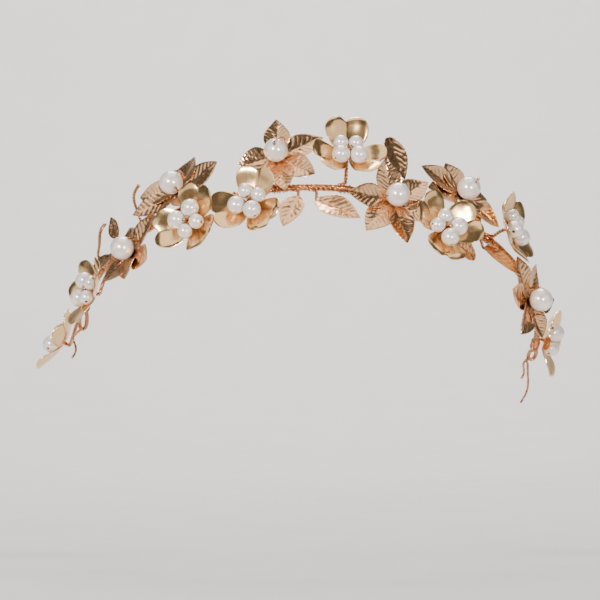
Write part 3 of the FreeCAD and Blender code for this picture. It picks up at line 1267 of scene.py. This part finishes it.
@dataclass
class Stem:
    """The twisted stem with its binding, end loops, tendrils and tails.

    Attributes:
        strand: Radius of each of the stem's three wires.
        reach: From the stem's middle line to each wire's centre.
        pitch: Length of one turn of the stem.
        wires: How many wires the stem has.
        coil_wire: Radius of the binding wire.
        coil_reach: From the stem's middle line to the binding wire.
        loop_wire: Radius of each wire of an end loop.
        loop_half: Half thickness of a packed loop's rod.
    """

    strand: float = 0.56
    reach: float = 0.68
    pitch: float = 4.6
    wires: int = 3
    coil_wire: float = 0.2
    coil_reach: float = 1.42
    loop_wire: float = 0.38
    loop_half: float = 0.65

    def build(self) -> None:
        """Builds every part of the stem."""
        steps = 300
        span = BAND.finish - BAND.start
        path = [BAND.point(BAND.start + span * step / steps) for step in range(steps + 1)]
        strands = twist(path, self.reach, self.strand, self.pitch, self.wires, wobble=0.18)
        wire_piece("stem_twist", strands, "stem_core", sides=3)
        self.build_wraps()
        self.build_loop("left_end_loop")
        self.build_loop("right_end_loop")
        self.build_ends()

    def build_wraps(self) -> None:
        """Winds fine wire over each place where a stalk leaves the stem."""
        stations = sorted(BAND.station(middle(island)) for island in islands("binding_wraps"))
        gap, most = 2.0, 4   # degrees within which rings share a coil, and how many share one
        places: list[list[float]] = []
        for station in stations:
            if places and station - places[-1][-1] < gap and len(places[-1]) < most:
                places[-1].append(station)
            else:
                places.append([station])
        strands = [self.coil(group[0], group[-1], index) for index, group in enumerate(places)]
        wire_piece("binding_coils", strands, "binding_wraps")

    def coil(self, first: float, last: float, seed: int) -> Strand:
        """Winds one uneven coil of binding wire.

        Args:
            first: Station of its first packed ring.
            last: Station of its last packed ring.
            seed: Varies the winding.

        Returns:
            The coil's wire.
        """
        margin = 0.35
        low, high = first - margin, last + margin
        turns = 6 + Random(seed).random() * 2
        steps = int(turns * 14)
        points = []
        for step in range(steps + 1):
            share = step / steps
            station = low + (high - low) * (share + 0.05 * math.sin(share * 19 + seed))
            outward, _, over = BAND.axes(station)
            angle = WHOLE_TURN * turns * share
            reach = self.coil_reach + 0.16 * math.sin(share * 23 + seed * 2)
            radial = outward * math.cos(angle) + over * math.sin(angle)
            points.append(BAND.point(station) + radial * reach)
        return Strand(points, self.coil_wire)

    def build_loop(self, node: str) -> None:
        """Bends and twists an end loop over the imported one.

        Args:
            node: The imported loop.
        """
        points = corners(node)
        centre = middle(points)
        outward, along, _ = BAND.axes(BAND.station(centre))
        half = max((point - centre).dot(along) for point in points) - self.loop_half
        wide = max((point - centre).dot(outward) for point in points) - self.loop_half
        ring = []
        steps = 48
        for step in range(steps + 1):
            angle = WHOLE_TURN * step / steps
            bulge = math.copysign(abs(math.cos(angle)) ** 0.7, math.cos(angle))
            ring.append(centre + along * half * bulge + outward * wide * math.sin(angle))
        strands = twist(ring, reach=0.36, wire=self.loop_wire, pitch=1.7, wobble=0.1)
        wire_piece(f"{node}_twist", strands, node)

    def build_ends(self) -> None:
        """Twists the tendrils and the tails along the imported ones, and joins each tail to a loop."""
        tendrils, tails = [], []
        for island in islands("tendrils"):
            tendrils += twist(waved(spine(island), reach=0.035), reach=0.36, wire=0.30, pitch=1.9,
                              taper=0.5, wobble=0.2)
        wire_piece("tendril_twists", tendrils, "tendrils")
        loops = corners("left_end_loop") + corners("right_end_loop")
        for island in islands("tails"):
            line = waved(spine(island), reach=0.06)
            knot = min(loops, key=lambda point: (point - line[0]).length)
            bite = 0.5   # how far the tail goes into the loop's wire
            root = knot + (knot - line[0]).normalized() * bite
            tails += twist([root, *line], reach=0.28, wire=0.23, pitch=1.7, taper=0.8)
        wire_piece("tail_twists", tails, "tails")


def spine(island: Sequence[Vector], slices: int = 5) -> list[Vector]:
    """The middle line of a thin bent rod.

    Args:
        island: The rod's vertices.
        slices: How many places along it are averaged.

    Returns:
        A smooth line from one end to the other.
    """
    centre = middle(island)
    first = max(island, key=lambda point: (point - centre).length)
    last = max(island, key=lambda point: (point - first).length)
    run = (last - first).normalized()
    length = (last - first).length
    line = []
    for number in range(slices):
        near = [point for point in island
                if abs((point - first).dot(run) / length * (slices - 1) - number) < 0.35]
        if near:
            line.append(sum(near, Vector()) / len(near))
    if first.z < last.z:
        line.reverse()
    return smooth_path(line, 6)


def waved(path: Sequence[Vector], reach: float) -> list[Vector]:
    """A line bent into a slack S that keeps its ends.

    Args:
        path: The line, in millimetres.
        reach: How far it swings to each side, as a share of its length.

    Returns:
        The bent line.
    """
    run = path[-1] - path[0]
    swing = run.length * reach
    side = run.cross(Vector((0, 1, 0))).normalized()
    steps = 40
    shares = [(index / steps) ** 0.8 for index in range(steps + 1)]
    return [spot - side * swing * math.sin(WHOLE_TURN * share)
            for spot, share in zip(even(path, steps), shares)]


# --- the studio ---


@dataclass(frozen=True)
class SoftBox:
    """A square soft light that faces a point.

    Attributes:
        name: The light's name.
        place: Its centre, in millimetres.
        edge: Its side, in millimetres.
        power: Its power in watts.
        colour: Its colour.
        aim: The point that it faces, in millimetres.
    """

    name: str
    place: tuple[float, float, float]
    edge: float
    power: float
    colour: tuple[float, float, float]
    aim: tuple[float, float, float] = (0, -30, 20)

    def hang(self) -> None:
        """Puts the light in the scene."""
        light = bpy.data.lights.new(self.name, "AREA")
        light.shape = "SQUARE"
        light.size = self.edge * MM
        light.energy = self.power
        light.color = self.colour
        holder = bpy.data.objects.new(self.name, light)
        holder.location = Vector(self.place) * MM
        holder.rotation_euler = (Vector(self.aim) - Vector(self.place)).to_track_quat("-Z", "Y").to_euler()
        holder.visible_camera = False
        bpy.context.scene.collection.objects.link(holder)


SOFT_BOXES = (
    SoftBox("left_box", (-1100, -830, 480), 1500, 7.4, (1.0, 0.98, 0.96)),
    SoftBox("right_box", (1130, -760, 320), 1300, 5.2, (1.0, 0.97, 0.93)),
    SoftBox("left_glint", (-430, -860, 230), 130, 8.0, (1.0, 0.99, 0.98)),
    SoftBox("right_glint", (360, -880, 90), 110, 5.0, (1.0, 0.98, 0.96)),
    SoftBox("top_box", (0, -60, 950), 950, 4.6, (1.0, 0.96, 0.90)),
    SoftBox("backdrop_box", (0, 420, 900), 500, 13.0, (1.0, 0.99, 0.97), (0, 1150, 0)),
)


@dataclass
class Studio:
    """Floor, backdrop, lights and camera.

    Attributes:
        floor_height: Height of the floor.
        distance: From the camera to the aim.
        aim: The point that the camera looks at.
        lens: The camera's focal length.
        room_colour: The dim light from all round.
        room_strength: How strong that light is.
    """

    floor_height: float = -75.0
    distance: float = 1000.0
    aim: tuple[float, float, float] = (-3.6, 0.0, 12.0)
    lens: float = 170.0
    room_colour: tuple[float, float, float] = (0.40, 0.38, 0.37)
    room_strength: float = 0.26

    def build(self) -> None:
        """Sets the studio up."""
        self.build_sweep()
        self.build_lights()
        self.build_camera()

    def build_sweep(self) -> None:
        """A pale floor that curves up into a backdrop."""
        shape = bmesh.new()
        side, front, bend_start, bend, top = -3000, -2600, 500, 700, 3200
        steps = 12
        profile = [Vector((side, front, 0)), Vector((side, bend_start, 0))]
        for step in range(1, steps + 1):
            angle = math.pi / 2 * step / steps
            profile.append(Vector((side, bend_start + bend * math.sin(angle), bend - bend * math.cos(angle))))
        profile.append(Vector((side, bend_start + bend, top)))
        line = [shape.verts.new(point) for point in profile]
        edges = [shape.edges.new(pair) for pair in zip(line, line[1:])]
        wide = bmesh.ops.extrude_edge_only(shape, edges=edges)
        bmesh.ops.translate(shape, vec=(-2 * side, 0, 0),
                            verts=[item for item in wide["geom"] if isinstance(item, bmesh.types.BMVert)])
        bmesh.ops.translate(shape, vec=(0, 0, self.floor_height), verts=shape.verts)
        bmesh.ops.scale(shape, vec=Vector((1, 1, 1)) * MM, verts=shape.verts)
        bmesh.ops.recalc_face_normals(shape, faces=shape.faces)
        sweep = smooth_mesh("studio_sweep", shape)
        sweep.data.materials.append(StudioPaper().make())

    def build_lights(self) -> None:
        """Two soft boxes beside the camera, a top light, a backdrop light, dark cards and a dim room."""
        for box in SOFT_BOXES:
            box.hang()
        card_paper = StudioPaper((0.07, 0.05, 0.04), "card_paper").make()
        self.add_card("camera_card", (0, -1350, 0), (0, 1, 0), card_paper)
        self.add_card("floor_card", (0, -1060, self.floor_height + 3), (0, 0, 1), card_paper)
        world = bpy.data.worlds.new("room")
        world.use_nodes = True
        background = world.node_tree.nodes["Background"]
        background.inputs["Color"].default_value = (*self.room_colour, 1.0)
        background.inputs["Strength"].default_value = self.room_strength
        bpy.context.scene.world = world

    def add_card(self, name: str, place: tuple[float, float, float],
                 face: tuple[float, float, float], paper: bpy.types.Material) -> None:
        """Adds a matt dark card that the metal mirrors and the camera doesn't see.

        Args:
            name: The card's name.
            place: Its centre, in millimetres.
            face: The direction that it faces.
            paper: Its material.
        """
        shape = bmesh.new()
        bmesh.ops.create_grid(shape, x_segments=1, y_segments=1, size=1.0)
        half_width, half_depth = 1500, 920
        bmesh.ops.scale(shape, vec=Vector((half_width, half_depth, 1)), verts=shape.verts)
        turn = Vector(face).to_track_quat("Z", "X" if face[1] else "Y").to_matrix().to_4x4()
        if face[1]:
            turn = turn @ Matrix.Rotation(math.pi / 2, 4, "Z")
        bmesh.ops.transform(shape, verts=shape.verts,
                            matrix=Matrix.Scale(MM, 4) @ Matrix.Translation(Vector(place)) @ turn)
        card = smooth_mesh(name, shape)
        card.data.materials.append(paper)
        card.visible_camera = False
        card.visible_shadow = False
        card.visible_diffuse = False

    def build_camera(self) -> None:
        """A long lens level with the head, straight in front."""
        data = bpy.data.cameras.new("camera")
        data.sensor_width = 36.0
        data.lens = self.lens
        data.clip_start = 0.01
        camera = bpy.data.objects.new("camera", data)
        camera.location = (Vector(self.aim) - Vector((0, self.distance, 0))) * MM
        camera.rotation_euler = (math.radians(90), 0, 0)
        bpy.context.scene.collection.objects.link(camera)
        bpy.context.scene.camera = camera


# --- the tiara ---


def petal_set(seed: int) -> list[PetalStyle]:
    """Three petals that differ a little from each other.

    Args:
        seed: Varies them.

    Returns:
        How each petal is bent.
    """
    rng = Random(seed)
    return [PetalStyle(heading=rng.uniform(-4, 4), reach=12.8 + rng.uniform(-0.5, 0.5),
                       cup=0.033 + rng.uniform(-0.004, 0.006), lip=0.8 + rng.uniform(0, 0.6),
                       ripple=rng.uniform(0.15, 0.4), phase=rng.uniform(0, WHOLE_TURN))
            for _ in range(3)]


# For each star: the headings of its leaves, and their lengths.
STAR_LEAVES = (
    ((35, 95, 153, 210, 262, 316), (14, 9.5, 9.5, 12, 9, 13)),
    ((12, 65, 120, 170, 203, 300), (15.5, 12, 8.5, 13, 15.5, 10)),
    ((21, 90, 187, 230, 280, 323), (14.5, 12, 11.5, 15.5, 13, 14.5)),
    ((338, 38, 110, 184, 237, 290), (13, 12.5, 12.5, 14, 15, 14)),
    ((15, 128, 168, 200, 300, 340), (9.5, 10, 15.5, 14.5, 12, 15.5)),
    ((35, 95, 150, 200, 255, 312), (12, 13, 15.5, 15.5, 14.5, 11)),
)


def star_flower(number: int) -> StarFlower:
    """A star flower whose leaves differ a little in how they are bent.

    Args:
        number: Its place in the row of stars, which varies the bends.

    Returns:
        The flower.
    """
    rng = Random(40 + number)
    headings, lengths = STAR_LEAVES[number - 1]
    return StarFlower(number, headings, lengths,
                      arches=tuple(14 + rng.uniform(-10, 20) for _ in range(6)),
                      rolls=tuple(rng.uniform(-20, 20) for _ in range(6)),
                      folds=tuple(15 + rng.uniform(-8, 10) for _ in range(6)))


def main() -> None:
    """Builds the studio and every piece of the tiara."""
    Studio().build()
    log.info("studio")
    Stem().build()
    log.info("stem")
    for number in range(1, 9):
        ClusterFlower(number, petal_set(number)).build()
        log.info("cluster %d", number)
    for number in range(1, 7):
        star_flower(number).build()
        log.info("star %d", number)
    twigs: list[Strand] = []
    for leaf in (LooseLeaf(1), LooseLeaf(2, width=9.0, veins=8), LooseLeaf(3), LooseLeaf(4),
                 LooseLeaf(5, width=6.4), LooseLeaf(6, width=5.5), LooseLeaf(7, width=5.0)):
        twigs += leaf.build()
    wire_piece("leaf_twigs", twigs, "leaf_stalks")
    log.info("leaves")


if __name__ == "__main__":
    main()
